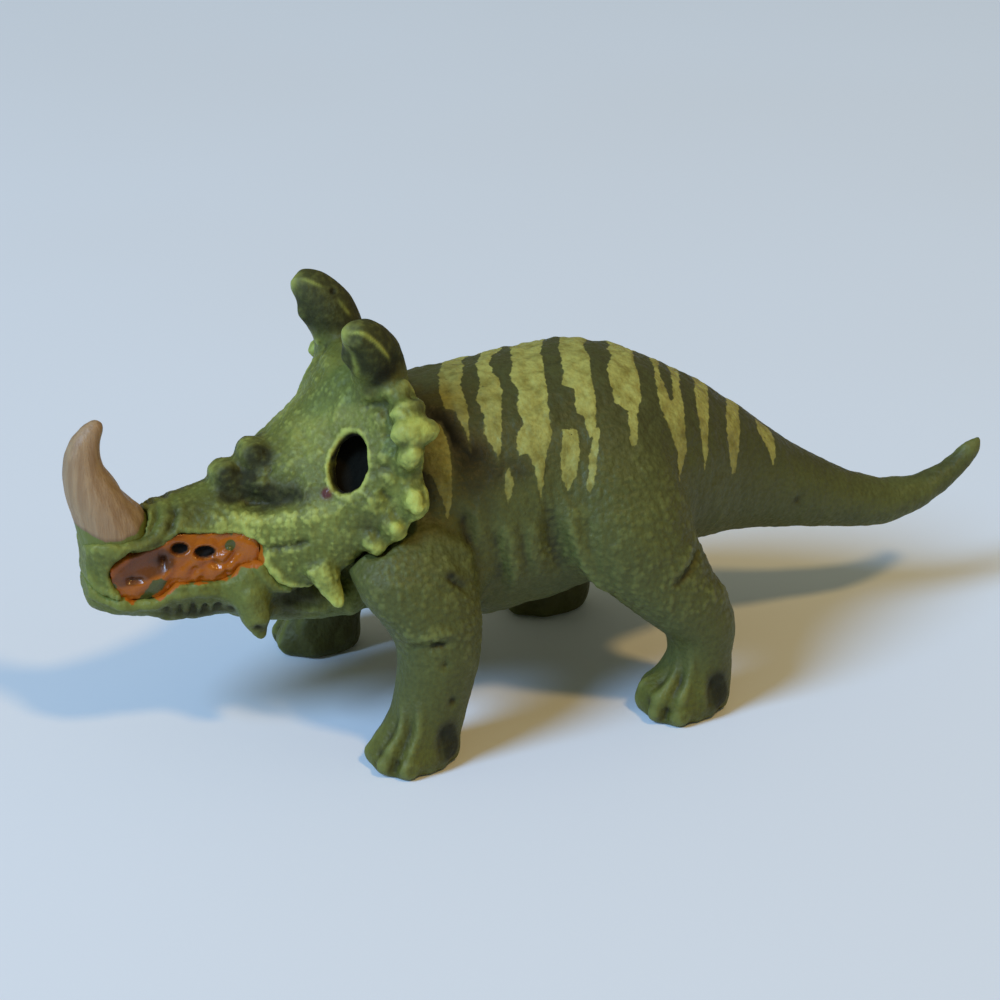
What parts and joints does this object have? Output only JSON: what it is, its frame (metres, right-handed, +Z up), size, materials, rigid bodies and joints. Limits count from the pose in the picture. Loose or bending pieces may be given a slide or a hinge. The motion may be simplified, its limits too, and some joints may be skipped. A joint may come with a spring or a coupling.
{
  "type": "toy dinosaur figure",
  "caption": "Small moulded vinyl horned dinosaur on four feet, with a nose horn, a frill with two hooks, an orange mouth piece and a striped back.",
  "frame": {"origin": "on the floor plane through the soles, below the middle of the figure's overall box", "axes": "+X from the nose toward the tail, +Y toward the animal's right side, +Z up"},
  "size_m": [0.0999, 0.0362, 0.0441],
  "materials": {
    "skin_green": "satin soft vinyl",
    "head_green": "satin soft vinyl",
    "mouth_orange": "gloss",
    "horn_tan": "satin soft vinyl"
  },
  "bodies": {
    "root": {"torso": "skin_green", "head": "head_green", "lower_jaw": "head_green", "mouth_insert": "mouth_orange", "nose_horn": "horn_tan", "left_front_leg": "skin_green", "right_front_leg": "skin_green", "left_hind_leg": "skin_green", "right_hind_leg": "skin_green", "tail": "skin_green"}
  },
  "joints": []
}
